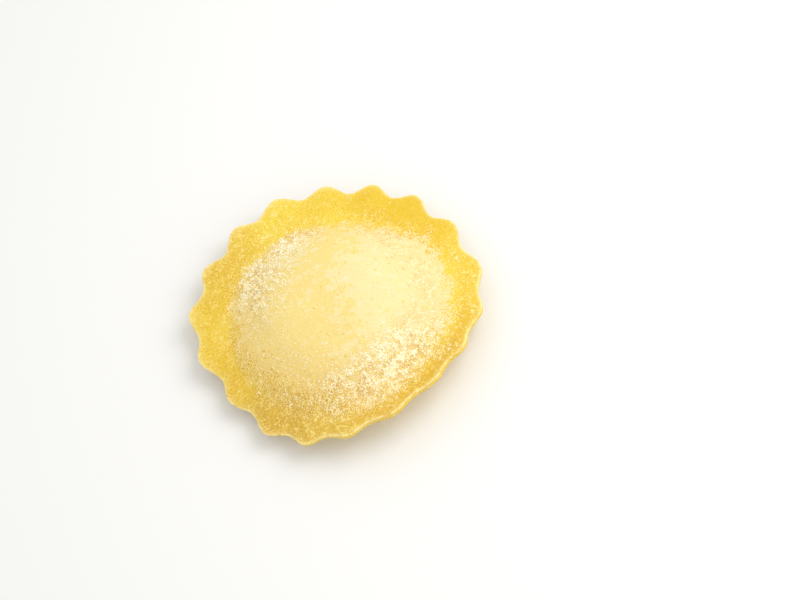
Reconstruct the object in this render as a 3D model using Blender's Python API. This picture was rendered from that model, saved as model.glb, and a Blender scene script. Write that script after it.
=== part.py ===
"""Round fresh raviolo with a fluted edge, uncooked.

Two sheets of egg dough close over one filling that can't be seen: a domed top,
a belly that rests on a flat spot, and a pressed rim cut with a fluted cutter.
It is one piece of food, so it is one closed solid.

The solid is a subdivided block whose every point is moved by one rule. The
block's flat directions become the round plan, and its height becomes the
thickness between the top sheet and the bottom sheet. Lengths among the
constants are in millimetres and angles in degrees, counted from +X towards +Y.
"""

import math

import bmesh
import bpy

MM = 0.001

# Block that is shaped, as numbers of squares
SQUARES_ACROSS = 44
SQUARES_UP_THE_CUT = 6

# Unevenness is written as waves round the piece: (waves, size, angle of one crest)

# Cut outline, seen from above
RIM_RADIUS = 30.50
ROUNDNESS_WAVES = ((2, 0.60, -17), (3, 0.55, 2), (4, 0.50, -24), (5, 0.25, 20), (6, 0.28, -19))
FLUTES = 18
FIRST_FLUTE_ANGLE = 14.6
FLUTE_DEPTH = 0.86
FLUTE_DEPTH_WAVES = ((1, 0.29, 95), (2, 0.15, 36), (3, 0.07, -2))
FLUTE_DRIFT_WAVES = ((1, 52, 10), (2, 9, -35), (3, 5, 37), (4, 22, -16), (5, 10, -27))
FLUTE_FADE_POWER = 7

# Pressed rim: two sheets together, curled up along the front and drooping at the left of that
RIM_THICKNESS = 1.30
RIM_START_RADIUS = 21.5
FRONT_LIFT = 3.8
FRONT_ANGLE = 283
FRONT_NARROWNESS = 3.5
DROOP = 2.7
DROOP_ANGLE = 222
DROOP_NARROWNESS = 1.5
LIFT_POWER = 1.25
LIFT_WAVES = ((2, 0.30, 70), (3, 0.22, 10), (5, 0.12, 40))
FLUTE_RIPPLE = 0.25

# Cut edge: each sheet is slightly rounded and the seam between them is a groove
CUT_BULGE = 0.22

# Top, raised by the filling
MOUND_CENTRE = (-0.3, -1.7)
MOUND_RADIUS = 24.2
MOUND_HEIGHT = 7.6
MOUND_FULLNESS = 2.8
MOUND_SHOULDER = 1.5
MOUND_LUMPS = ((10.0, 2.0, 0.40, 9.0), (-6.0, -3.0, -0.30, 7.0), (1.0, 12.0, 0.30, 6.0), (-13.0, 4.0, 0.30, 6.0),
               (4.0, -13.0, 0.35, 6.5))

# Underside: a shallower belly with the flat spot that the piece stands on
BELLY_CENTRE = (-0.2, -1.2)
BELLY_RADIUS = 23.6
BELLY_DEPTH = 5.6
FLAT_SPOT_RADIUS = 10.5
BELLY_FULLNESS = 2.2
BELLY_SHOULDER = 1.4

DOUGH_COLOUR = (0.90, 0.66, 0.22, 1.0)
DOUGH_ROUGHNESS = 0.75
SHARP_ANGLE = 50


def clear_scene():
    for thing in list(bpy.data.objects):
        bpy.data.objects.remove(thing, do_unlink=True)


def make_material(name, colour, roughness):
    material = bpy.data.materials.new(name)
    material.use_nodes = True
    shader = material.node_tree.nodes["Principled BSDF"]
    shader.inputs["Base Color"].default_value = colour
    shader.inputs["Roughness"].default_value = roughness
    shader.inputs["Metallic"].default_value = 0.0
    return material


def wave_sum(waves, angle):
    """Height at an angle (radians) of waves given as (count, size, crest angle in degrees)."""
    return sum(size * math.cos(count * (angle - math.radians(crest))) for count, size, crest in waves)


def flute_turn(angle):
    """Where in its flute an angle lies, in radians: a crest is at each whole turn."""
    even = FLUTES * (angle - math.radians(FIRST_FLUTE_ANGLE))
    return even + math.radians(wave_sum(FLUTE_DRIFT_WAVES, angle))


def round_radius(angle):
    return RIM_RADIUS + wave_sum(ROUNDNESS_WAVES, angle)


def flute_height(angle):
    """How far the fluted edge stands outside the round outline."""
    depth = FLUTE_DEPTH * (1 + wave_sum(FLUTE_DEPTH_WAVES, angle))
    return depth * math.cos(flute_turn(angle))


def square_to_disc(across, along):
    """Turns a point of the square from -1 to 1 into a share of the radius and an angle.

    Each square ring becomes a round one, and equal steps along its side become equal angles.
    """
    share = max(abs(across), abs(along))
    if share == 0:
        return 0.0, 0.0
    if abs(across) >= abs(along):
        angle = math.pi / 4 * along / across
        return share, angle if across > 0 else angle + math.pi
    angle = math.pi / 2 - math.pi / 4 * across / along
    return share, angle if along > 0 else angle + math.pi


def rim_share(radius, angle):
    """0 where the rim starts at the filling, and 1 at the cut edge."""
    return max(0.0, (radius - RIM_START_RADIUS) / (round_radius(angle) - RIM_START_RADIUS))


def edge_lift(angle):
    """Lift of the cut edge: a curl at the front, a droop beside it, low waves and a ripple with the flutes."""
    front = FRONT_LIFT * max(0.0, math.cos(angle - math.radians(FRONT_ANGLE))) ** FRONT_NARROWNESS
    droop = DROOP * max(0.0, math.cos(angle - math.radians(DROOP_ANGLE))) ** DROOP_NARROWNESS
    ripple = FLUTE_RIPPLE * math.cos(flute_turn(angle))
    return front - droop + wave_sum(LIFT_WAVES, angle) + ripple


def mound_height(x, y):
    """Height of the top sheet over the rim: full in the middle, falling to a soft foot."""
    share = math.hypot(x - MOUND_CENTRE[0], y - MOUND_CENTRE[1]) / MOUND_RADIUS
    if share >= 1:
        return 0.0
    dome = (1 - share ** MOUND_FULLNESS) ** MOUND_SHOULDER
    lumps = sum(height * math.exp(-((x - cx) ** 2 + (y - cy) ** 2) / width ** 2)
                for cx, cy, height, width in MOUND_LUMPS)
    return dome * (MOUND_HEIGHT + lumps)


def belly_depth(x, y):
    """Depth of the bottom sheet under the rim: level over the flat spot, then rising to the rim."""
    radius = math.hypot(x - BELLY_CENTRE[0], y - BELLY_CENTRE[1])
    share = max(0.0, radius - FLAT_SPOT_RADIUS) / (BELLY_RADIUS - FLAT_SPOT_RADIUS)
    if share >= 1:
        return 0.0
    return BELLY_DEPTH * (1 - share ** BELLY_FULLNESS) ** BELLY_SHOULDER


def shape_point(across, along, level):
    """Place in millimetres of a block point: level is 1 on the top, -1 on the bottom."""
    share, angle = square_to_disc(across, along)
    outward_x = math.cos(angle)
    outward_y = math.sin(angle)
    radius = share * (round_radius(angle) + flute_height(angle) * share ** FLUTE_FADE_POWER)
    x = radius * outward_x
    y = radius * outward_y
    pressed = rim_share(share * round_radius(angle), angle)
    lift = edge_lift(angle) * pressed ** LIFT_POWER
    slope = LIFT_POWER * lift / (RIM_RADIUS - RIM_START_RADIUS)
    lean = math.sin(math.atan(slope)) * pressed
    depth_share = (1 - level) / 2
    cut = CUT_BULGE * math.sqrt(abs(math.sin(math.pi * level))) if abs(level) < 1 else 0.0
    sideways = depth_share * RIM_THICKNESS * lean + cut
    top = BELLY_DEPTH + RIM_THICKNESS + lift + mound_height(x, y)
    bottom = BELLY_DEPTH + lift - belly_depth(x, y)
    z = top + (bottom - top) * depth_share
    return x + sideways * outward_x, y + sideways * outward_y, z


def shape_raviolo():
    """Makes the block, with one row of squares for each level of the cut edge, and shapes it."""
    mesh = bpy.data.meshes.new("raviolo")
    block = bmesh.new()
    bmesh.ops.create_cube(block, size=2)
    flat_edges = [edge for edge in block.edges if edge.verts[0].co.z == edge.verts[1].co.z]
    bmesh.ops.subdivide_edges(block, edges=flat_edges, cuts=SQUARES_ACROSS - 1, use_grid_fill=True)
    upright_edges = [edge for edge in block.edges if edge.verts[0].co.z != edge.verts[1].co.z]
    bmesh.ops.subdivide_edges(block, edges=upright_edges, cuts=SQUARES_UP_THE_CUT - 1, use_grid_fill=True)
    for point in block.verts:
        point.co = [MM * value for value in shape_point(*point.co)]
    centre_on_box(block)
    bmesh.ops.recalc_face_normals(block, faces=block.faces)
    block.to_mesh(mesh)
    block.free()
    mesh.shade_smooth()
    mesh.set_sharp_from_angle(angle=math.radians(SHARP_ANGLE))
    return mesh


def centre_on_box(block):
    """Moves the shape so that the middle of its box is over the origin."""
    for axis in (0, 1):
        places = [point.co[axis] for point in block.verts]
        middle = (min(places) + max(places)) / 2
        for point in block.verts:
            point.co[axis] -= middle


def main():
    clear_scene()
    collection = bpy.data.collections.new("ravioli")
    bpy.context.scene.collection.children.link(collection)
    mesh = shape_raviolo()
    mesh.materials.append(make_material("egg_dough", DOUGH_COLOUR, DOUGH_ROUGHNESS))
    collection.objects.link(bpy.data.objects.new("raviolo", mesh))


main()
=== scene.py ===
"""Round fresh raviolo, uncooked and dusted with flour: its fine surfaces, finishes, light and camera.

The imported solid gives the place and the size. Here the dough is made again as two thin
sheets, a domed top and a bellied bottom, pressed together at the fluted cut edge. Semolina
and flour lie on them as loose grains. Lengths are in millimetres, and angles in degrees
counted from +X towards +Y, unless a name or a comment says otherwise.
"""

import math

import bpy
import numpy as np
from mathutils import Matrix, Vector


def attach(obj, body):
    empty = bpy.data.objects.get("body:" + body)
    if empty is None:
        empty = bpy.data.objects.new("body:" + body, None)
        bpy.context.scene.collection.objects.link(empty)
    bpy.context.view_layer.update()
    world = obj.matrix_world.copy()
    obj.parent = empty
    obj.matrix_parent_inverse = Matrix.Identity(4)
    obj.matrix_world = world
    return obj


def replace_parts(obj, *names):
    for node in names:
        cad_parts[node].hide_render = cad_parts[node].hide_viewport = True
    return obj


MM = 0.001
NODE = "raviolo"

# Unevenness is written as waves round the piece: (waves, size, angle of one crest)

# Cut outline, seen from above, with the cutter's small nicks
RIM_RADIUS = 30.50
ROUNDNESS_WAVES = ((2, 0.60, -17), (3, 0.55, 2), (4, 0.50, -24), (5, 0.25, 20), (6, 0.28, -19))
FLUTES = 18
FIRST_FLUTE_ANGLE = 14.6
FLUTE_DEPTH = 0.86
FLUTE_DEPTH_WAVES = ((1, 0.29, 95), (2, 0.15, 36), (3, 0.07, -2))
FLUTE_DRIFT_WAVES = ((1, 52, 10), (2, 9, -35), (3, 5, 37), (4, 22, -16), (5, 10, -27))
FLUTE_FADE_POWER = 7
NICK_DEPTH = 0.07
NICK_LENGTH = 1.5

# Pressed rim: two sheets together, curled up along the front and drooping at the left of that
RIM_THICKNESS = 1.30
RIM_START_RADIUS = 21.5
FRONT_LIFT = 3.8
FRONT_ANGLE = 283
FRONT_NARROWNESS = 3.5
DROOP = 2.7
DROOP_ANGLE = 222
DROOP_NARROWNESS = 1.5
LIFT_POWER = 1.25
LIFT_WAVES = ((2, 0.30, 70), (3, 0.22, 10), (5, 0.12, 40))
FLUTE_RIPPLE = 0.25

# Cut edge: each sheet is slightly rounded and the seam between them is a groove
CUT_BULGE = 0.22

# Top, raised by the filling, with broad lumps: (x, y, height, width)
MOUND_CENTRE = (-0.3, -1.7)
MOUND_RADIUS = 24.2
MOUND_HEIGHT = 7.6
MOUND_FULLNESS = 2.8
MOUND_SHOULDER = 1.5
MOUND_LUMPS = ((10.0, 2.0, 0.40, 9.0), (-6.0, -3.0, -0.30, 7.0), (1.0, 12.0, 0.30, 6.0),
               (-13.0, 4.0, 0.30, 6.0), (4.0, -13.0, 0.35, 6.5))

# Underside: a shallower belly with the flat spot that the piece stands on
BELLY_CENTRE = (-0.2, -1.2)
BELLY_RADIUS = 23.6
BELLY_DEPTH = 5.6
FLAT_SPOT_RADIUS = 10.5
BELLY_FULLNESS = 2.2
BELLY_SHOULDER = 1.4

# Relief of the dough and of what lies on it
SWELL_HEIGHT = 0.10
TOOTH_HEIGHT = 0.016
CAKE_HEIGHT = 0.05
DRIFT_HEIGHT = 0.10
UNDERSIDE_SINK = 0.12
DENT_DEPTH = 0.08
PIT_DEPTH = 0.03

# Fineness of the sheets, and the plain inner face that closes each of them
TOP_CELLS = 290
BOTTOM_CELLS = 230
CUT_ROWS = 8
SEAM_GAP = 0.03
INNER_ROWS = 5
INNER_STEP = 0.09

# Where coarse semolina has drifted on the top: (x, y, width along x, width along y, strength)
TOP_DRIFTS = ((-13.0, 13.0, 6.0, 7.0, 0.95), (-15.5, 6.5, 4.5, 6.0, 0.65), (-4.5, 18.8, 6.5, 4.0, 0.75),
              (-2.5, -21.5, 7.5, 4.5, 0.80), (7.0, -19.0, 7.0, 4.5, 0.95), (16.0, -15.0, 5.5, 6.0, 0.80),
              (20.5, -4.0, 3.5, 8.0, 0.40), (18.0, 9.0, 4.0, 5.0, 0.55), (-16.0, -13.0, 6.0, 7.0, 0.25),
              (-1.8, -18.2, 3.8, 2.5, 0.45))

# Places on the top: (x, y, width along x, width along y)
PACKED_HEAPS = ((7.7, -16.5, 3.5, 3.0), (-7.0, 16.3, 4.0, 3.2), (-2.3, -18.0, 3.0, 2.2))
RIGHT_SLOPE = (19, -3, 5, 9)
THICK_FAR_SLOPE = (-6, 16, 10, 5.5)
THICK_NEAR_MIDDLE = (3.5, 4.0, 3.5, 3.0)
WHITEST_UPPER_LEFT = (-9, 15, 13, 10)
WHITEST_LOWER_RIGHT = (6, -18, 13, 7)

# Sides of the piece: (angle of the middle of the side, narrowness)
SHADED_THIN_FLOUR_SIDE = (222, 3)  # flour is thinner down the slope away from the light, and the darker dough that shows there is painted shade
SHADED_BARE_SIDE = (236, 6)  # the dough's deeper colour on the slope away from the light is painted shade
DRIFTED_SIDE = (-78, 10)  # semolina lies out onto the rim
DUSTED_SIDE = (-78, 8)  # flour lies on the rim
SPILL_SIDE = (5, 12)  # the caked flour has spilled onto the rim
CURL_SIDE = (-58, 7)  # the rim inside its curled edge has less flour, and its darker yellow is painted shade
CLEAN_SIDE = (40, 14)  # the rim is clean all the way in
LIGHT_SIDE = (154, 45)  # a patch of lighter yellow
HIGHLIGHT_EDGE_SIDE = (150, 2)  # the pale line along the edge, a painted highlight with some flour, is widest
SLIPPED_SIDE = (240, 14)  # specks of flour have slipped further down

# Where the flour thickens along x, the strip inside the curled edge as radii, and the pale line of painted
# highlight along the edge
FLOUR_THICKENS = (-5.0, 11.5)
CURLED_STRIP = (25.5, 28.5)
HIGHLIGHT_LINE_WIDTH = 0.28
HIGHLIGHT_LINE_EXTRA_WIDTH = 0.30

# Edge of the flour as a share of the mound's radius, and the dough's colour round the rim: its deeper
# colour in waves is painted shade
FLOUR_EDGE = 0.93
FLOUR_EDGE_WAVES = ((1, 0.024, 243), (2, 0.017, -23), (3, 0.025, 5), (4, 0.014, 0), (6, 0.010, 30))
DEEP_COLOUR_SHADE_WAVES = ((1, 0.16, 90), (3, 0.09, 23), (4, 0.19, 38))
LIGHT_YELLOW_WAVES = ((1, 0.14, 0), (2, 0.12, 93), (3, 0.28, -19), (4, 0.09, -30))
UNDERSIDE_BARE = 0.3

# Loose grains: how far out they lie, how each one sits, and how unequal its three widths are
GRAIN_REACH = 0.985
TRIES_PER_GRAIN = 14
GRAIN_TILT = 0.22
GRAIN_RISE = 0.18
GRAIN_WIDTHS = ((0.9, 1.15), (0.8, 1.05), (0.8, 1.15))
SLOPE_STEP = 0.05

# Depth of the flour's tooth and of the light in the dough
FLOUR_TOOTH = 0.06
LIGHT_DEPTH = 0.8

# Random patterns of the dough's finish: (size, detail, roughness). Single grains of flour are finer
# than the picture can show, so they are drawn 0.36 mm wide, as coarse as they need to be to show
DOUGH_PATTERNS = {"grain": (0.36, 1.0, 0.5), "freckle": (0.52, 2.0, 0.6), "blotch": (1.7, 3.0, 0.65)}

# Thicker flour: blotches, then heaps. It lies where the blotch pattern is over a limit. Each row holds
# the limit where flour is thin and where it is thick, how far over the limit the thicker flour starts
# and is full, how much it covers, and its colour
THICKER_FLOUR = ((0.67, 0.30, -0.004, 0.006, 1.0, "#F2E0A4"), (0.78, 0.60, -0.02, 0.03, 0.9, "#F7E6BC"))

# Sockets of a colour mix that share their names with others: its share, the two colours and the result
MIX_SHARE = 0
MIX_UNDER = 6
MIX_OVER = 7
MIX_RESULT = 2

# Random values at the corners of a lattice: large odd numbers that scramble a column, a row and a seed
SCRAMBLE_COLUMN = 374761393
SCRAMBLE_ROW = 668265263
SCRAMBLE_SEED = 69069
SCRAMBLE_AGAIN = 1274126177
KEEP_POSITIVE = 0x7FFFFFFF
RANDOM_LEVELS = 4095

# Layers of noise: turn of the first and of each one after it in radians, and how far each height falls
FIRST_TURN = 0.7
LAYER_TURN = 1.9
LAYER_FALL = 1.9

# How the share of the way out is settled: number of divisions, and the smallest radius to divide by
DIVISIONS = 3
SMALLEST_RADIUS = 1e-6

# Camera: the photograph's angle on the piece, its distance, and where the piece sits in the picture
VIEW_TILT = 30.0
VIEW_ROLL = 24.0
VIEW_DISTANCE = 450.0
PICTURE_PX = (800, 600)
PIECE_CENTRE_PX = (336, 312)
PX_PER_MM = 4.62
AIM_OFFSET = (-0.18, -0.86)
SENSOR_WIDTH = 36.0
NEAREST_SEEN = 10

# Floor and even light from all round
FLOOR_WIDTH = 4000
FLOOR_GAP = 0.02
SKY_STRENGTH = 0.87

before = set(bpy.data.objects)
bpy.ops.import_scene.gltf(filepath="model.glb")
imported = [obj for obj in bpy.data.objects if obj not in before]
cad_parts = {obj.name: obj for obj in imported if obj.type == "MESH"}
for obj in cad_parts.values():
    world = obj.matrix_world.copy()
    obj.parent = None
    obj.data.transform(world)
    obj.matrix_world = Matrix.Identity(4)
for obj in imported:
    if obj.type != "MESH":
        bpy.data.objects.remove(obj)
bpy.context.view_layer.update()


def wave_sum(waves, angle):
    """Height at an angle of waves round the piece: each is size * cos(count * (angle - crest))."""
    return sum(size * np.cos(count * (angle - math.radians(crest))) for count, size, crest in waves)


def fade(low, high, value):
    """0 at low, 1 at high and beyond, and an S curve between."""
    part = np.clip((value - low) / (high - low), 0, 1)
    return part * part * (3 - 2 * part)


def bell(x, y, place):
    """1 in the middle of a place, falling off as exp(-(x / width)^2 - (y / width)^2) from there."""
    middle_x, middle_y, wide, deep = place
    return np.exp(-((x - middle_x) / wide) ** 2 - ((y - middle_y) / deep) ** 2)


def lattice_noise(x, y, size, seed):
    """Noise from -1 to 1: a random value at each corner of squares of this size, blended by S curves."""
    u = x / size
    v = y / size
    column = np.floor(u)
    row = np.floor(v)
    across = fade(0, 1, u - column)
    along = fade(0, 1, v - row)

    def corner(right, up):
        """Random value from -1 to 1 at one corner of each square: its column, row and seed scrambled."""
        key = (column + right).astype(np.int64) * SCRAMBLE_COLUMN
        key = key + (row + up).astype(np.int64) * SCRAMBLE_ROW + seed * SCRAMBLE_SEED
        key = ((key ^ (key >> 13)) * SCRAMBLE_AGAIN) & KEEP_POSITIVE
        return ((key ^ (key >> 16)) & RANDOM_LEVELS) / (RANDOM_LEVELS / 2) - 1

    low = corner(0, 0) * (1 - across) + corner(1, 0) * across
    high = corner(0, 1) * (1 - across) + corner(1, 1) * across
    return low * (1 - along) + high * along


def layered_noise(x, y, size, seed, layers=3):
    """Sum of lattice noises, each half the size and about half the height of the one before, and turned."""
    total = 0
    for layer in range(layers):
        turn = FIRST_TURN + LAYER_TURN * layer
        turned_x = x * math.cos(turn) - y * math.sin(turn)
        turned_y = x * math.sin(turn) + y * math.cos(turn)
        finer = lattice_noise(turned_x, turned_y, size / 2 ** layer, seed + layer)
        total = total + finer / LAYER_FALL ** layer
    return total


def flute_turn(angle):
    """Where in its flute an angle lies, in radians: a crest is at each whole turn."""
    even = FLUTES * (angle - math.radians(FIRST_FLUTE_ANGLE))
    return even + np.radians(wave_sum(FLUTE_DRIFT_WAVES, angle))


def round_radius(angle):
    """Radius of the cut edge without its flutes."""
    return RIM_RADIUS + wave_sum(ROUNDNESS_WAVES, angle)


def reach(share, angle):
    """Radius at a share of the way out: round inside, fluted at the edge, with the cutter's small nicks."""
    flutes = FLUTE_DEPTH * (1 + wave_sum(FLUTE_DEPTH_WAVES, angle)) * np.cos(flute_turn(angle))
    edge_x = RIM_RADIUS * np.cos(angle)
    edge_y = RIM_RADIUS * np.sin(angle)
    nicks = NICK_DEPTH * layered_noise(edge_x, edge_y, NICK_LENGTH, seed=41)
    return share * (round_radius(angle) + (flutes + nicks) * share ** FLUTE_FADE_POWER)


def share_at(x, y):
    """Share of the way out of a plan point, by repeated division of its radius by the reach."""
    angle = np.arctan2(y, x)
    radius = np.hypot(x, y)
    share = radius / round_radius(angle)
    for _ in range(DIVISIONS):
        share = share * radius / np.maximum(reach(share, angle), SMALLEST_RADIUS)
    return share, angle


def pressed(share, angle):
    """0 where the rim starts at the filling, and 1 at the cut edge."""
    radius = round_radius(angle)
    return np.maximum(0, (share * radius - RIM_START_RADIUS) / (radius - RIM_START_RADIUS))


def rim_lift(share, angle):
    """Lift of the rim: the cut edge's lift times a power of how far out the point is."""
    front = FRONT_LIFT * np.maximum(0, np.cos(angle - math.radians(FRONT_ANGLE))) ** FRONT_NARROWNESS
    droop = DROOP * np.maximum(0, np.cos(angle - math.radians(DROOP_ANGLE))) ** DROOP_NARROWNESS
    ripple = FLUTE_RIPPLE * np.cos(flute_turn(angle))
    return (front - droop + wave_sum(LIFT_WAVES, angle) + ripple) * pressed(share, angle) ** LIFT_POWER


def mound_share(x, y):
    """0 in the middle of the mound and 1 at its foot."""
    return np.hypot(x - MOUND_CENTRE[0], y - MOUND_CENTRE[1]) / MOUND_RADIUS


def mound_height(x, y):
    """Rise over the filling: height * (1 - s^fullness)^shoulder, with a few broad lumps."""
    lumps = sum(height * np.exp(-((x - cx) ** 2 + (y - cy) ** 2) / width ** 2)
                for cx, cy, height, width in MOUND_LUMPS)
    dome = (1 - np.minimum(mound_share(x, y), 1) ** MOUND_FULLNESS) ** MOUND_SHOULDER
    return dome * (MOUND_HEIGHT + lumps)


def belly_depth(x, y):
    """Depth under the rim: level over the flat spot, then depth * (1 - s^fullness)^shoulder."""
    radius = np.hypot(x - BELLY_CENTRE[0], y - BELLY_CENTRE[1])
    share = np.clip((radius - FLAT_SPOT_RADIUS) / (BELLY_RADIUS - FLAT_SPOT_RADIUS), 0, 1)
    return BELLY_DEPTH * (1 - share ** BELLY_FULLNESS) ** BELLY_SHOULDER


def flour_share(x, y):
    """0 in the middle of the mound and 1 at the uneven edge of its flour."""
    angle = np.arctan2(y - MOUND_CENTRE[1], x - MOUND_CENTRE[0])
    return mound_share(x, y) / (FLOUR_EDGE + wave_sum(FLOUR_EDGE_WAVES, angle))


def towards(x, y, side):
    """1 in the middle of a side and 0 opposite: half of 1 + cosine, to the power of the narrowness."""
    middle, narrowness = side
    angle = np.arctan2(y - MOUND_CENTRE[1], x - MOUND_CENTRE[0])
    return (0.5 + 0.5 * np.cos(angle - math.radians(middle))) ** narrowness


def drift_strength(x, y):
    """How thickly semolina lies: soft oval heaps broken up by noise of 5 and 2 mm, thin on the rim."""
    heaps = np.minimum(sum(strength * bell(x, y, place) for *place, strength in TOP_DRIFTS), 1.1)
    patches = (0.85 + 0.50 * layered_noise(x, y, size=5.0, seed=3)
               + 0.45 * layered_noise(x, y, size=1.8, seed=7))
    held_back = 0.90 - 0.65 * towards(x, y, DRIFTED_SIDE)
    on_rim = fade(0.94, 1.12, flour_share(x, y))
    return np.clip(heaps * patches, 0, 1.2) * (1 - held_back * on_rim)


def clumps(x, y):
    """Noise of 0.8 and 0.4 mm that gathers grains into clumps and leaves gaps between them."""
    return layered_noise(x, y, size=0.8, seed=8, layers=2)


def packed_heaps(x, y):
    """Where flour has filled the gaps between the grains: 0.8 in the middle of each packed heap."""
    return 0.8 * sum(bell(x, y, heap) for heap in PACKED_HEAPS)


def gaps(x, y):
    """Where drifted semolina leaves the dough open, 0 to 1, painted as dough in shade: between the clumps,
    down the slopes.
    """
    filled_up = np.maximum(0.5 * bell(x, y, RIGHT_SLOPE), packed_heaps(x, y))
    open_share = fade(0.45, 0.80, mound_share(x, y)) * (1 - filled_up)
    return np.clip(drift_strength(x, y), 0, 1) * fade(0.30, -0.25, clumps(x, y)) * open_share


def caked_flour(x, y):
    """Cover of fine flour on the top, 1 where it hides the dough: full on the mound, thin on the rim.

    Down the slopes it thins, most on the side away from the light, where the darker dough shows through as
    painted shade.
    """
    edge = (flour_share(x, y) + 0.035 * layered_noise(x, y, size=4.0, seed=11)
            + 0.05 * layered_noise(x, y, size=1.4, seed=12))
    slope_cover = 0.92 - 0.50 * towards(x, y, SHADED_THIN_FLOUR_SIDE) - 0.20 * np.clip(drift_strength(x, y), 0, 1)
    mound = (1 + (slope_cover - 1) * fade(0.50, 0.92, edge)) * (1 - fade(0.78, 1.18, edge))
    scattered = 0.65 + 0.5 * layered_noise(x, y, size=2.0, seed=17)
    spill = 0.50 * towards(x, y, SPILL_SIDE) * scattered * (1 - fade(1.04, 1.36, edge))
    rim_film = (0.04 + 0.10 * layered_noise(x, y, size=2.5, seed=13) + 0.13 * towards(x, y, DUSTED_SIDE)
                + spill - 0.15 * curled_strip(x, y))
    return np.clip(mound, 0, 1) + np.clip(rim_film, 0, 1)


def flour_thickness(x, y):
    """How thick the caked flour is, 0 to 1: it grows from left to right, with two thick bells besides."""
    across = 0.12 + 0.80 * fade(*FLOUR_THICKENS, x - 0.5 * np.maximum(y, 0) - 0.2 * np.minimum(y, 0))
    far_slope = 0.70 * bell(x, y, THICK_FAR_SLOPE)
    near_middle = 0.30 * bell(x, y, THICK_NEAR_MIDDLE)
    return np.clip(across + far_slope + near_middle + 0.16 * layered_noise(x, y, size=7.0, seed=15), 0, 1)


def bare_dough(x, y):
    """Where the thin veil of flour is missing and the dough shows a deeper colour, 0 to 1: painted shade on
    the side away from the light and in waves round the rim.
    """
    share = mound_share(x, y)
    around = wave_sum(DEEP_COLOUR_SHADE_WAVES, np.arctan2(y, x)) * fade(0.9, 1.1, share)
    shaded_side = towards(x, y, SHADED_BARE_SIDE) * fade(0.35, 0.95, share)
    return np.clip(shaded_side + around + 0.12 * layered_noise(x, y, size=6.0, seed=14), 0, 1)


def curled_strip(x, y):
    """1 on the strip of rim just inside the curled front edge: it has less flour, and its darker yellow is
    painted shade.
    """
    return towards(x, y, CURL_SIDE) * fade(*CURLED_STRIP, np.hypot(x, y))


def clean_rim(x, y):
    """Where the rim carries no flour and the dough shows its pure deep yellow, 0 to 0.75."""
    return 0.75 * towards(x, y, CLEAN_SIDE) * fade(0.98, 1.12, mound_share(x, y))


def light_yellow(x, y):
    """Where the dough is a lighter yellow, 0 to 1: waves round it, one narrow side and patches of 7 mm."""
    around = wave_sum(LIGHT_YELLOW_WAVES, np.arctan2(y, x))
    narrow = 0.45 * towards(x, y, LIGHT_SIDE)
    return np.clip(0.48 + around + narrow + 0.20 * layered_noise(x, y, size=7.0, seed=16), 0, 1)


def dough_relief(x, y):
    """Soft unevenness of hand-rolled dough: swells of 7 mm and a fine tooth of 1 mm."""
    swells = SWELL_HEIGHT * layered_noise(x, y, size=7.0, seed=21, layers=2)
    tooth = TOOTH_HEIGHT * layered_noise(x, y, size=1.1, seed=22, layers=2)
    return swells + tooth


def flour_relief(x, y):
    """Thickness of caked flour and drifted semolina: lumps as high as a grain or two."""
    cake = CAKE_HEIGHT * caked_flour(x, y) * (1 + 0.5 * layered_noise(x, y, size=2.2, seed=32))
    return cake + DRIFT_HEIGHT * drift_strength(x, y) * (0.6 + clumps(x, y))


def top_height(share, angle, x, y):
    """Height of the top face: the rim and its lift, the mound over the filling, and the two reliefs."""
    return (BELLY_DEPTH + RIM_THICKNESS + rim_lift(share, angle) + mound_height(x, y)
            + dough_relief(x, y) + flour_relief(x, y))


def bottom_height(share, angle, x, y):
    """Height of the bottom face: its relief only presses inwards, and not on the flat spot."""
    off_the_table = 1 - belly_depth(x, y) / BELLY_DEPTH
    dents = (UNDERSIDE_SINK + DENT_DEPTH * layered_noise(x, y, size=6.0, seed=51, layers=2)
             + PIT_DEPTH * layered_noise(x, y, size=0.8, seed=52, layers=2))
    return BELLY_DEPTH + rim_lift(share, angle) - belly_depth(x, y) + dents * fade(0, 0.15, off_the_table)


def sheet_point(share, angle, level):
    """Place on the dough: level is 1 on the top face, -1 on the bottom face, and between them on the cut.

    The cut face bulges by a root of a sine, once for each sheet, so the seam at level 0 is a groove.
    """
    radius = reach(share, angle)
    x = radius * np.cos(angle)
    y = radius * np.sin(angle)
    slope = LIFT_POWER * rim_lift(share, angle) / (RIM_RADIUS - RIM_START_RADIUS)
    lean = np.sin(np.arctan(slope)) * pressed(share, angle)
    depth = (1 - level) / 2
    bulge = CUT_BULGE * np.sqrt(np.abs(np.sin(np.pi * level))) * (np.abs(level) < 1)
    sideways = depth * RIM_THICKNESS * lean + bulge
    top = top_height(share, angle, x, y)
    bottom = bottom_height(share, angle, x, y)
    height = top + (bottom - top) * depth
    return np.stack([x + sideways * np.cos(angle), y + sideways * np.sin(angle), height], -1)


def plan_shift():
    """The move that puts the middle of the outline's box over the origin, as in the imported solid."""
    angle = np.radians(np.arange(0, 360, 0.25))
    around = np.concatenate([sheet_point(np.ones_like(angle), angle, np.full_like(angle, level))
                             for level in (0.5, -0.5)])
    return -(around[:, :2].min(0) + around[:, :2].max(0)) / 2


PLAN_SHIFT = np.append(plan_shift(), 0.0)


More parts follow.
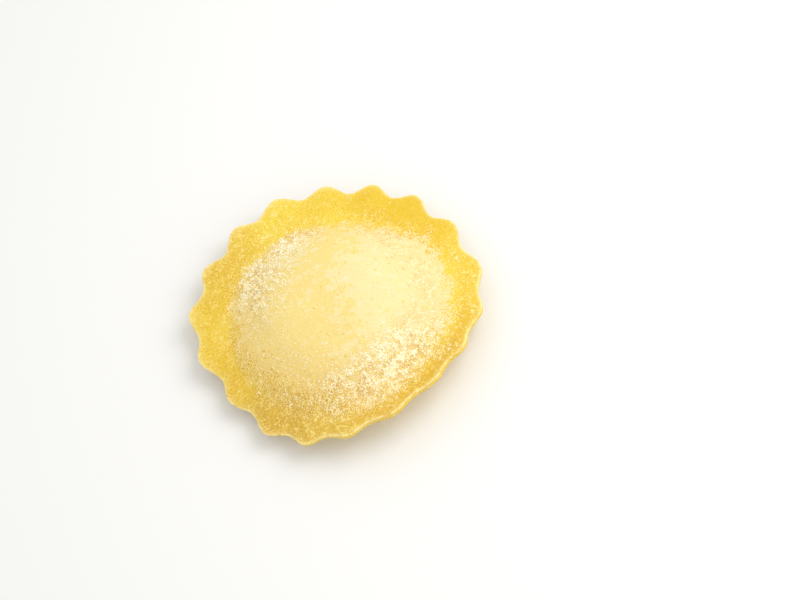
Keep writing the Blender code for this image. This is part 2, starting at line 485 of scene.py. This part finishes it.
def disc_grid(cells):
    """Square grid taken to a disc: each square ring becomes a round one, with even angles along it."""
    line = np.linspace(-1, 1, cells + 1)
    across, along = np.meshgrid(line, line)
    ring = np.maximum(np.abs(across), np.abs(along))
    sideways = np.abs(across) >= np.abs(along)
    safe_across = np.where(across == 0, 1, across)
    safe_along = np.where(along == 0, 1, along)
    beside = np.pi / 4 * along / safe_across + np.pi * (across < 0)
    above = np.pi / 2 - np.pi / 4 * across / safe_along + np.pi * (along < 0)
    angle = np.where(sideways, beside, above)
    index = np.arange((cells + 1) ** 2).reshape(cells + 1, cells + 1)
    quads = np.stack([index[:-1, :-1], index[:-1, 1:], index[1:, 1:], index[1:, :-1]], -1).reshape(-1, 4)
    loop = np.concatenate([index[0, :-1], index[:-1, -1], index[-1, :0:-1], index[:0:-1, 0]])
    return ring.ravel(), angle.ravel(), quads, loop


def make_piece(name, points, faces, attributes, material, smooth=True):
    """One object from arrays: points in millimetres, groups of equal-sided faces, and values per point."""
    mesh = bpy.data.meshes.new(name)
    mesh.vertices.add(len(points))
    mesh.vertices.foreach_set("co", ((points + PLAN_SHIFT) * MM).ravel())
    corners = np.concatenate([group.ravel() for group in faces])
    sides = np.concatenate([np.full(len(group), group.shape[1]) for group in faces])
    mesh.loops.add(len(corners))
    mesh.loops.foreach_set("vertex_index", corners)
    mesh.polygons.add(len(sides))
    mesh.polygons.foreach_set("loop_start", np.cumsum(sides) - sides)
    mesh.update(calc_edges=True)
    mesh.validate()
    for label, values in attributes.items():
        mesh.attributes.new(label, "FLOAT", "POINT").data.foreach_set("value", values)
    if smooth:
        mesh.shade_smooth()
    else:
        mesh.shade_flat()
    mesh.materials.append(material)
    piece = bpy.data.objects.new(name, mesh)
    bpy.context.scene.collection.objects.link(piece)
    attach(piece, "root")
    return piece


def underside_flour(x, y):
    """Cover of flour below: an even film picked up from the table, thinner on the rim."""
    film = (0.55 + 0.30 * layered_noise(x, y, size=4.5, seed=61)
            + 0.15 * layered_noise(x, y, size=1.4, seed=62))
    on_belly = 1 - fade(0.85, 1.1, np.hypot(x - BELLY_CENTRE[0], y - BELLY_CENTRE[1]) / BELLY_RADIUS)
    return np.clip(film * (0.35 + 0.65 * on_belly), 0, 1)


def edge_highlight_line(x, y, share):
    """How pale the edge's painted highlight is, with some flour caught in it: exp(-distance from the edge /
    width of the line), broken up by noise.
    """
    edge_highlight = np.clip(0.9 + 0.5 * layered_noise(x, y, size=0.9, seed=43), 0, 1)
    width = HIGHLIGHT_LINE_WIDTH + HIGHLIGHT_LINE_EXTRA_WIDTH * towards(x, y, HIGHLIGHT_EDGE_SIDE)
    return np.exp(-(1 - share) * RIM_RADIUS / width) * edge_highlight


def surface_values(x, y, side, share, down_the_cut):
    """What the dough's finish reads at each point of a sheet, by name, each from 0 to about 1."""
    values = {"flour": caked_flour(x, y), "thick": flour_thickness(x, y), "grit": drift_strength(x, y),
              "gap": gaps(x, y), "bare": bare_dough(x, y), "edge": edge_highlight_line(x, y, share),
              "cut": down_the_cut, "curl": curled_strip(x, y), "clean": clean_rim(x, y),
              "light_yellow": light_yellow(x, y)}
    if side < 0:
        below = underside_flour(x, y)
        nowhere = np.zeros(len(x))
        bare = np.full(len(x), UNDERSIDE_BARE)
        values.update(flour=below, grit=0.5 * below, gap=nowhere, bare=bare, edge=nowhere)
    return values


def inner_points(angle, side):
    """Points of a sheet's plain inner face: rows that follow the middle of the rim inwards, and a hub."""
    share, angle = np.meshgrid(1 - INNER_STEP * np.arange(1, INNER_ROWS + 1), angle, indexing="ij")
    radius = reach(share, angle)
    seam_height = BELLY_DEPTH + RIM_THICKNESS / 2
    height = seam_height + rim_lift(share, angle) + side * SEAM_GAP
    rows = np.stack([radius * np.cos(angle), radius * np.sin(angle), height], -1).reshape(-1, 3)
    return np.append(rows, [[0, 0, seam_height + side * SEAM_GAP]], axis=0)


def make_sheet(name, cells, side, material):
    """One sheet of dough, side 1 on top or -1 underneath.

    The grid's outer rings run round the corner and down the cut to the seam. From there a plain inner
    face follows the middle of the rim inwards and closes the sheet in a fan, where nothing shows.
    """
    ring, angle, quads, loop = disc_grid(cells)
    face_end = 1 - 2 * CUT_ROWS / cells
    share = np.minimum(ring / face_end, 1)
    down_the_cut = np.clip((ring - face_end) / (1 - face_end), 0, 1)
    outer = sheet_point(share, angle, side * np.cos(down_the_cut * np.pi / 2) ** 2)
    inner = inner_points(angle[loop], side)
    points = np.concatenate([outer, inner])
    hub = len(points) - 1
    rows = np.vstack([loop, np.arange(len(outer), hub).reshape(INNER_ROWS, -1)])
    ahead = np.roll(rows, -1, axis=1)
    bands = np.stack([rows[1:], ahead[1:], ahead[:-1], rows[:-1]], -1).reshape(-1, 4)
    fan = np.stack([np.full(len(loop), hub), ahead[-1], rows[-1]], -1)
    faces = [group[:, ::side] for group in (quads, bands, fan)]
    share = np.append(share, np.ones(len(inner)))
    down_the_cut = np.append(down_the_cut, np.zeros(len(inner)))
    values = surface_values(points[:, 0], points[:, 1], side, share, down_the_cut)
    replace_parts(make_piece(name, points, faces, values, material), NODE)


def pebble_pattern(splits):
    """Points and triangles of a ball: an octahedron, each face split into four, pushed out to radius 1."""
    points = np.array([(1, 0, 0), (0, 1, 0), (-1, 0, 0), (0, -1, 0), (0, 0, 1), (0, 0, -1)], float)
    faces = np.array([(0, 1, 4), (1, 2, 4), (2, 3, 4), (3, 0, 4),
                      (1, 0, 5), (2, 1, 5), (3, 2, 5), (0, 3, 5)])
    for _ in range(splits):
        a, b, c = points[faces[:, 0]], points[faces[:, 1]], points[faces[:, 2]]
        corners = np.concatenate([a, b, c, (a + b) / 2, (b + c) / 2, (c + a) / 2])
        corner = np.arange(6 * len(faces)).reshape(6, -1)
        split = [(0, 3, 5), (3, 1, 4), (5, 4, 2), (3, 4, 5)]
        faces = np.concatenate([corner[list(three)].T for three in split])
        points, same = np.unique(corners.round(6), axis=0, return_inverse=True)
        faces = same.reshape(-1)[faces]
    return points / np.linalg.norm(points, axis=1, keepdims=True), faces


def unit(vectors):
    """Vectors of the same directions and length 1."""
    return vectors / np.linalg.norm(vectors, axis=-1, keepdims=True)


def draw_places(random, amount, density):
    """Places drawn evenly over the disc and kept by the density, as x and y."""
    tries = amount * TRIES_PER_GRAIN
    angle = random.uniform(0, 2 * np.pi, tries)
    radius = reach(GRAIN_REACH * np.sqrt(random.random(tries)), angle)
    x = radius * np.cos(angle)
    y = radius * np.sin(angle)
    kept = np.flatnonzero(random.random(tries) < density(x, y))[:amount]
    return x[kept], y[kept]


def height_and_outward(x, y, surface, side):
    """Height of the dough at each place, and the unit vector out of it, from a small step each way."""
    height = surface(x, y)
    rise = np.stack([(surface(x + SLOPE_STEP, y) - height) / SLOPE_STEP,
                     (surface(x, y + SLOPE_STEP) - height) / SLOPE_STEP], -1)
    return height, unit(np.column_stack([-rise, np.ones(len(x))]) * side)


def scatter_grains(name, material, density, surface, amount, sizes, flatness, roughness, seed,
                   side=1, splits=0, smooth=False, paleness=None):
    """Loose grains as one joined mesh.

    Each grain is the pebble pattern, flattened along the surface, turned at random, each corner moved in
    or out, and sunk a third into the dough. Its tone is random, and lighter where a paleness says so.
    """
    random = np.random.default_rng(seed)
    x, y = draw_places(random, amount, density)
    height, outward = height_and_outward(x, y, surface, side)
    tilted = unit(outward + random.normal(0, GRAIN_TILT, outward.shape))
    along = unit(np.cross(tilted, random.normal(0, 1, outward.shape)))
    turn = np.stack([along, np.cross(tilted, along), tilted], 1)
    smallest, largest = sizes
    size = smallest + (largest - smallest) * random.random(len(x)) ** 2
    widths = np.column_stack([random.uniform(low, high, len(x)) for low, high in GRAIN_WIDTHS])
    half_widths = widths * (1, 1, flatness) * size[:, None] / 2
    pattern, triangles = pebble_pattern(splits)
    corners = pattern * random.uniform(1 - roughness, 1 + roughness, (len(x), len(pattern), 1))
    corners = (corners + random.normal(0, 0.4 * roughness, corners.shape)) * half_widths[:, None]
    centre = np.column_stack([x, y, height]) + outward * (size * flatness * GRAIN_RISE)[:, None]
    points = (np.einsum("gcj,gjk->gck", corners, turn) + centre[:, None]).reshape(-1, 3)
    faces = (triangles + len(pattern) * np.arange(len(x))[:, None, None]).reshape(-1, 3)
    tone = random.random(len(x))
    if paleness:
        tone = np.clip(0.5 * tone + paleness(x, y), 0, 1)
    make_piece(name, points, [faces], {"tone": np.repeat(tone, len(pattern))}, material, smooth)


def top_surface(x, y):
    """Height of the top face over a plan point."""
    share, angle = share_at(x, y)
    return top_height(share, angle, x, y)


def bottom_surface(x, y):
    """Height of the bottom face over a plan point."""
    share, angle = share_at(x, y)
    return bottom_height(share, angle, x, y)


def semolina_density(x, y):
    """Chance of a semolina grain: clumps of 1 mm in the drifts, a few on the mound, fewer on the rim."""
    gathered = 0.15 + 0.85 * fade(-0.20, 0.30, clumps(x, y))
    on_mound = 1 - fade(0.9, 1.05, mound_share(x, y))
    return np.clip(drift_strength(x, y) ** 1.2 * gathered, 0, 1) + 0.010 * on_mound + 0.0005


def whitest_drifts(x, y):
    """How much whiter semolina is in three drifts, 0 to 0.75: a bell in the middle of each."""
    two_drifts = 0.75 * bell(x, y, WHITEST_UPPER_LEFT) + 0.7 * bell(x, y, WHITEST_LOWER_RIGHT)
    return two_drifts + 0.4 * bell(x, y, RIGHT_SLOPE)


def speck_density(x, y):
    """Chance of a flour speck: on the slopes and, in patches, on the dusted side of the rim."""
    share = flour_share(x, y) - 0.09 * towards(x, y, SLIPPED_SIDE)
    slope = fade(0.72, 0.9, share) * (1 - fade(0.98, 1.1, share))
    patches = fade(-0.3, 0.9, layered_noise(x, y, size=2.5, seed=71)) * (1 - 0.7 * curled_strip(x, y))
    return np.clip(0.35 * slope + (0.03 + 0.45 * towards(x, y, DUSTED_SIDE)) * patches, 0, 1)


def crumb_density(x, y):
    """Chance of a crumb of flour: with the square of the drifts, and a few on the mound."""
    return np.clip(0.8 * drift_strength(x, y) ** 2 + 0.02 * (mound_share(x, y) < 0.85), 0, 1)


def underside_density(x, y):
    """Chance of a grain below: none where the belly rests on the table."""
    radius = np.hypot(x - BELLY_CENTRE[0], y - BELLY_CENTRE[1])
    return fade(FLAT_SPOT_RADIUS + 2, FLAT_SPOT_RADIUS + 5, radius) * underside_flour(x, y)


def hex_colour(text):
    """Linear colour of an sRGB hex value."""
    values = [int(text[place:place + 2], 16) / 255 for place in (1, 3, 5)]
    return [v / 12.92 if v <= 0.04045 else ((v + 0.055) / 1.055) ** 2.4 for v in values] + [1.0]


def per_size(millimetres):
    """Scale of a texture on Object coordinates whose pattern repeats at this size."""
    return 1 / (millimetres * MM)


def add(tree, kind, inputs, **settings):
    """Adds one node: inputs are its sockets' values or links, by name or number, and settings are its own.

    A Math node's sockets share one name, so they go by number: its first, second and third terms.
    """
    node = tree.nodes.new(kind)
    for name, value in settings.items():
        setattr(node, name, value)
    for socket, value in inputs.items():
        if isinstance(value, bpy.types.NodeSocket):
            tree.links.new(value, node.inputs[socket])
        else:
            node.inputs[socket].default_value = value
    return node


def new_material(name):
    """A material whose tree holds only the Principled shader and the output, and that shader."""
    material = bpy.data.materials.new(name)
    material.use_nodes = True
    return material, material.node_tree.nodes["Principled BSDF"]


def surface_readings(tree):
    """Outputs that the dough's finish works with, by name: the surface values and the random patterns."""
    place = add(tree, "ShaderNodeTexCoord", {}).outputs["Object"]
    readings = {}
    for name in ("flour", "thick", "grit", "gap", "bare", "edge", "cut", "curl", "clean", "light_yellow"):
        readings[name] = add(tree, "ShaderNodeAttribute", {}, attribute_name=name).outputs["Fac"]
    for name, (size, detail, roughness) in DOUGH_PATTERNS.items():
        pattern = {"Vector": place, "Scale": per_size(size), "Detail": detail, "Roughness": roughness}
        readings[name] = add(tree, "ShaderNodeTexNoise", pattern).outputs["Fac"]
    return readings


def dough_colour(tree, readings):
    """Colour of the dough under the flour: saturated egg yellow, lighter in patches.

    Over it lie, from the bottom up, the deep colour where no flour veils it, which is also painted shade on
    the side away from the light and round the rim, the strip inside the curled edge in painted shade,
    dimples in shade, a broken film of the finest flour, the clean rim, a pale line of painted highlight
    along the edge with some flour on it, and the deeper yellow of the seam in the cut.
    """
    mottle = readings["light_yellow"]
    grain = readings["grain"]
    dough = add(tree, "ShaderNodeMix",
                {MIX_SHARE: mottle, MIX_UNDER: hex_colour("#EBC342"), MIX_OVER: hex_colour("#F2D94E")},
                data_type="RGBA").outputs[MIX_RESULT]
    # Deeper colour where the flour veil is thin: painted shade on the side away from the light and round
    # the rim
    bare = add(tree, "ShaderNodeMath", {0: readings["bare"], 1: 0.75}, operation="MULTIPLY").outputs[0]
    # Strip inside the curled edge: its darker yellow is painted shade
    curl_shade = add(tree, "ShaderNodeMath", {0: readings["curl"], 1: 0.80}, operation="MULTIPLY").outputs[0]
    dimple_depth = add(tree, "ShaderNodeMapRange",
                       {"Value": mottle, "To Min": 0.90, "To Max": 0.35}).outputs[0]
    dimple = add(tree, "ShaderNodeMapRange",
                 {"Value": grain, "From Min": 0.50, "From Max": 0.36, "To Max": dimple_depth}).outputs[0]
    dimple_colour = add(tree, "ShaderNodeMix",
                        {MIX_SHARE: readings["bare"], MIX_UNDER: hex_colour("#DCA92C"),
                         MIX_OVER: hex_colour("#BE9138")}, data_type="RGBA").outputs[MIX_RESULT]
    marks = add(tree, "ShaderNodeMath", {0: readings["blotch"], 1: 0.9, 2: readings["freckle"]},
                operation="MULTIPLY_ADD").outputs[0]
    film = add(tree, "ShaderNodeMapRange",
               {"Value": marks, "From Min": 1.00, "From Max": 1.14, "To Max": 0.85}).outputs[0]
    film_colour = add(tree, "ShaderNodeMix",
                      {MIX_SHARE: mottle, MIX_UNDER: hex_colour("#F4D052"),
                       MIX_OVER: hex_colour("#FCEA98")}, data_type="RGBA").outputs[MIX_RESULT]
    edge_tone = add(tree, "ShaderNodeMapRange",
                    {"Value": grain, "From Min": 0.3, "From Max": 0.6,
                     "To Min": 0.5, "To Max": 0.95}).outputs[0]
    # Pale line along the edge: painted highlight, with some flour caught in it
    edge_highlight = add(tree, "ShaderNodeMath", {0: readings["edge"], 1: edge_tone}, operation="MULTIPLY").outputs[0]
    seam = add(tree, "ShaderNodeMapRange",
               {"Value": readings["cut"], "From Min": 0.45, "From Max": 0.62, "To Max": 0.85}).outputs[0]
    layers = ((bare, hex_colour("#D1A645")), (curl_shade, hex_colour("#DCAB30")), (dimple, dimple_colour),
              (film, film_colour), (readings["clean"], hex_colour("#E9C32E")),
              (edge_highlight, hex_colour("#FBE79C")), (seam, hex_colour("#ECCB52")))
    for share, colour in layers:
        dough = add(tree, "ShaderNodeMix", {MIX_SHARE: share, MIX_UNDER: dough, MIX_OVER: colour},
                    data_type="RGBA").outputs[MIX_RESULT]
    return dough


def flour_colour(tree, readings):
    """Colour of the caked flour: cream, in blotches and heaps that are whiter where it lies thicker.

    A blotch shows where the pattern is over a limit, which falls as the flour gets thicker. Over these lie
    a warm tan, painted shade on the side away from the light, and single pale freckles.
    """
    flour = hex_colour("#F1D988")
    for thin_limit, thick_limit, start, full, most, colour in THICKER_FLOUR:
        limit = add(tree, "ShaderNodeMapRange",
                    {"Value": readings["thick"], "To Min": thin_limit, "To Max": thick_limit}).outputs[0]
        over_limit = add(tree, "ShaderNodeMath", {0: readings["blotch"], 1: limit},
                         operation="SUBTRACT").outputs[0]
        share = add(tree, "ShaderNodeMapRange",
                    {"Value": over_limit, "From Min": start, "From Max": full, "To Max": most},
                    interpolation_type="SMOOTHSTEP").outputs[0]
        flour = add(tree, "ShaderNodeMix",
                    {MIX_SHARE: share, MIX_UNDER: flour, MIX_OVER: hex_colour(colour)},
                    data_type="RGBA").outputs[MIX_RESULT]
    # Warm tan on the side away from the light: painted shade
    warm_shade = add(tree, "ShaderNodeMath", {0: readings["bare"], 1: 0.7}, operation="MULTIPLY").outputs[0]
    pale = add(tree, "ShaderNodeMapRange",
               {"Value": readings["freckle"], "From Min": 0.58, "From Max": 0.66, "To Max": 0.6}).outputs[0]
    for share, colour in ((warm_shade, "#EFCA74"), (pale, "#FAE8B2")):
        flour = add(tree, "ShaderNodeMix",
                    {MIX_SHARE: share, MIX_UNDER: flour, MIX_OVER: hex_colour(colour)},
                    data_type="RGBA").outputs[MIX_RESULT]
    return flour


def gap_share(tree, readings):
    """How much painted shade of dough shows between coarse grains: in the open gaps, and in darker specks
    of grit.
    """
    hollow = add(tree, "ShaderNodeMapRange",
                 {"Value": readings["grain"], "From Min": 0.52, "From Max": 0.36}).outputs[0]
    specks = add(tree, "ShaderNodeMath", {0: hollow, 1: readings["grit"]},
                 operation="MULTIPLY", use_clamp=True).outputs[0]
    both = add(tree, "ShaderNodeMath", {0: specks, 1: 0.4, 2: readings["gap"]},
               operation="MULTIPLY_ADD").outputs[0]
    return add(tree, "ShaderNodeMapRange", {"Value": both, "To Max": 0.85}).outputs[0]


def egg_dough():
    """Fresh egg pasta dough, rolled through smooth rollers and dusted with flour.

    Matt, saturated egg yellow with soft mottling, a little light inside it, and a painted highlight along
    the thin cut edge, with some flour on it.
    Fine flour hides it by the flour value of each point, in specks where the cover is thin, and dough in
    shade shows in the gaps between the coarse grains. Flour makes it rougher and gives it a fine tooth.
    """
    material, shader = new_material("egg_dough_floured")
    tree = material.node_tree
    readings = surface_readings(tree)
    grain = readings["grain"]
    amount = add(tree, "ShaderNodeMath", {0: grain, 1: 1.7, 2: readings["flour"]},
                 operation="MULTIPLY_ADD").outputs[0]
    cover = add(tree, "ShaderNodeMapRange", {"Value": amount, "From Min": 1.12, "From Max": 1.42},
                interpolation_type="SMOOTHSTEP").outputs[0]
    colour = dough_colour(tree, readings)
    # Painted shade of dough between the coarse grains
    layers = ((cover, flour_colour(tree, readings)), (gap_share(tree, readings), hex_colour("#D5B06E")))
    for share, over in layers:
        colour = add(tree, "ShaderNodeMix", {MIX_SHARE: share, MIX_UNDER: colour, MIX_OVER: over},
                     data_type="RGBA").outputs[MIX_RESULT]
    tooth = add(tree, "ShaderNodeMath", {0: grain, 1: readings["flour"], 2: readings["freckle"]},
                operation="MULTIPLY_ADD").outputs[0]
    bump = add(tree, "ShaderNodeBump",
               {"Height": tooth, "Strength": 0.5, "Distance": FLOUR_TOOTH * MM}).outputs[0]
    rough = add(tree, "ShaderNodeMapRange", {"Value": cover, "To Min": 0.62, "To Max": 0.92}).outputs[0]
    tree.links.new(colour, shader.inputs["Base Color"])
    tree.links.new(rough, shader.inputs["Roughness"])
    tree.links.new(bump, shader.inputs["Normal"])
    shader.inputs["IOR"].default_value = 1.45
    shader.inputs["Specular IOR Level"].default_value = 0.3
    shader.inputs["Subsurface Weight"].default_value = 0.08
    shader.inputs["Subsurface Radius"].default_value = (1.0, 0.75, 0.45)
    shader.inputs["Subsurface Scale"].default_value = LIGHT_DEPTH * MM
    return material


def grain_material(name, dark, light, roughness):
    """Milled durum wheat: matt chips whose tone differs from grain to grain, by each one's own value."""
    material, shader = new_material(name)
    tree = material.node_tree
    tone = add(tree, "ShaderNodeAttribute", {}, attribute_name="tone").outputs["Fac"]
    colour = add(tree, "ShaderNodeMix",
                 {MIX_SHARE: tone, MIX_UNDER: hex_colour(dark), MIX_OVER: hex_colour(light)},
                 data_type="RGBA").outputs[MIX_RESULT]
    tree.links.new(colour, shader.inputs["Base Color"])
    shader.inputs["Roughness"].default_value = roughness
    shader.inputs["IOR"].default_value = 1.5
    shader.inputs["Specular IOR Level"].default_value = 0.3
    return material


def painted_board():
    """Matt white painted board, sprayed smooth: an even pale floor with no gloss."""
    material, shader = new_material("matt_white_board")
    shader.inputs["Base Color"].default_value = hex_colour("#F4F4F2")
    shader.inputs["Roughness"].default_value = 0.9
    shader.inputs["Specular IOR Level"].default_value = 0.1
    return material


def make_floor():
    """Wide plane just under the flat spot."""
    bpy.ops.mesh.primitive_plane_add(size=FLOOR_WIDTH * MM, location=(0, 0, -FLOOR_GAP * MM))
    floor = bpy.context.object
    floor.name = "floor"
    floor.data.materials.append(painted_board())


def direction(azimuth, elevation):
    """Unit vector towards an azimuth from +X and an elevation over the floor, in degrees."""
    flat = math.cos(math.radians(elevation))
    return Vector((flat * math.cos(math.radians(azimuth)), flat * math.sin(math.radians(azimuth)),
                   math.sin(math.radians(elevation))))


def make_softbox(name, azimuth, elevation, distance, width, watts, colour):
    """Square lamp aimed at the piece from this direction."""
    lamp = bpy.data.lights.new(name, "AREA")
    lamp.size = width * MM
    lamp.energy = watts
    lamp.color = hex_colour(colour)[:3]
    holder = bpy.data.objects.new(name, lamp)
    outward = direction(azimuth, elevation)
    holder.location = outward * distance * MM + Vector((0, 0, BELLY_DEPTH * MM))
    holder.rotation_euler = outward.to_track_quat("Z", "Y").to_euler()
    bpy.context.scene.collection.objects.link(holder)


def make_light():
    """Even white light from all round, and one softbox from the right."""
    world = bpy.data.worlds.new("studio")
    world.use_nodes = True
    sky = world.node_tree.nodes["Background"]
    sky.inputs["Color"].default_value = hex_colour("#FFFFFF")
    sky.inputs["Strength"].default_value = SKY_STRENGTH
    bpy.context.scene.world = world
    make_softbox("key_softbox", azimuth=-4, elevation=52, distance=270, width=180, watts=0.295,
                 colour="#FFFDF8")


def make_camera():
    """Camera tilted from upright and rolled as the photograph's, turned so the piece sits where it did."""
    tilt = math.radians(VIEW_TILT)
    roll = math.radians(VIEW_ROLL)
    level_right = Vector((1, 0, 0))
    level_up = Vector((0, math.cos(tilt), math.sin(tilt)))
    back = Vector((0, -math.sin(tilt), math.cos(tilt)))
    right = math.cos(roll) * level_right - math.sin(roll) * level_up
    up = math.sin(roll) * level_right + math.cos(roll) * level_up
    straight = Matrix((right, up, back)).transposed()
    focal_px = PX_PER_MM * VIEW_DISTANCE
    in_picture = Vector((PIECE_CENTRE_PX[0] - PICTURE_PX[0] / 2, PICTURE_PX[1] / 2 - PIECE_CENTRE_PX[1],
                         -focal_px))
    off_axis = in_picture.rotation_difference(Vector((0, 0, -1))).to_matrix()
    data = bpy.data.cameras.new("camera")
    data.sensor_width = SENSOR_WIDTH
    data.lens = focal_px / PICTURE_PX[0] * data.sensor_width
    data.clip_start = NEAREST_SEEN * MM
    camera = bpy.data.objects.new("camera", data)
    rim_middle = Vector((PLAN_SHIFT[0], PLAN_SHIFT[1], BELLY_DEPTH + RIM_THICKNESS / 2))
    target = (rim_middle + Vector((*AIM_OFFSET, 0))) * MM
    placed = (straight @ off_axis).to_4x4()
    placed.translation = target + back * VIEW_DISTANCE * MM
    camera.matrix_world = placed
    bpy.context.scene.collection.objects.link(camera)
    bpy.context.scene.camera = camera


def make_raviolo():
    """Two sheets of dough, and the semolina and flour that lie on them."""
    dough = egg_dough()
    make_sheet("top_sheet", TOP_CELLS, 1, dough)
    make_sheet("bottom_sheet", BOTTOM_CELLS, -1, dough)
    semolina = grain_material("semolina_coarse", "#FCE6A8", "#FFFADC", 0.75)
    flour = grain_material("flour_fine", "#F9D874", "#FEE8A4", 0.9)
    scatter_grains("semolina_grains", semolina, semolina_density, top_surface, amount=9000,
                   sizes=(0.24, 0.52), flatness=0.45, roughness=0.30, seed=101, paleness=whitest_drifts)
    scatter_grains("flour_specks", flour, speck_density, top_surface, amount=12000, sizes=(0.12, 0.30),
                   flatness=0.4, roughness=0.3, seed=102)
    scatter_grains("flour_crumbs", flour, crumb_density, top_surface, amount=900, sizes=(0.30, 0.65),
                   flatness=0.32, roughness=0.25, seed=103, splits=1, smooth=True)
    scatter_grains("underside_grains", semolina, underside_density, bottom_surface, amount=9000,
                   sizes=(0.16, 0.40), flatness=0.6, roughness=0.35, seed=104, side=-1)


make_raviolo()
make_floor()
make_light()
make_camera()
bpy.context.scene.view_settings.view_transform = "Standard"
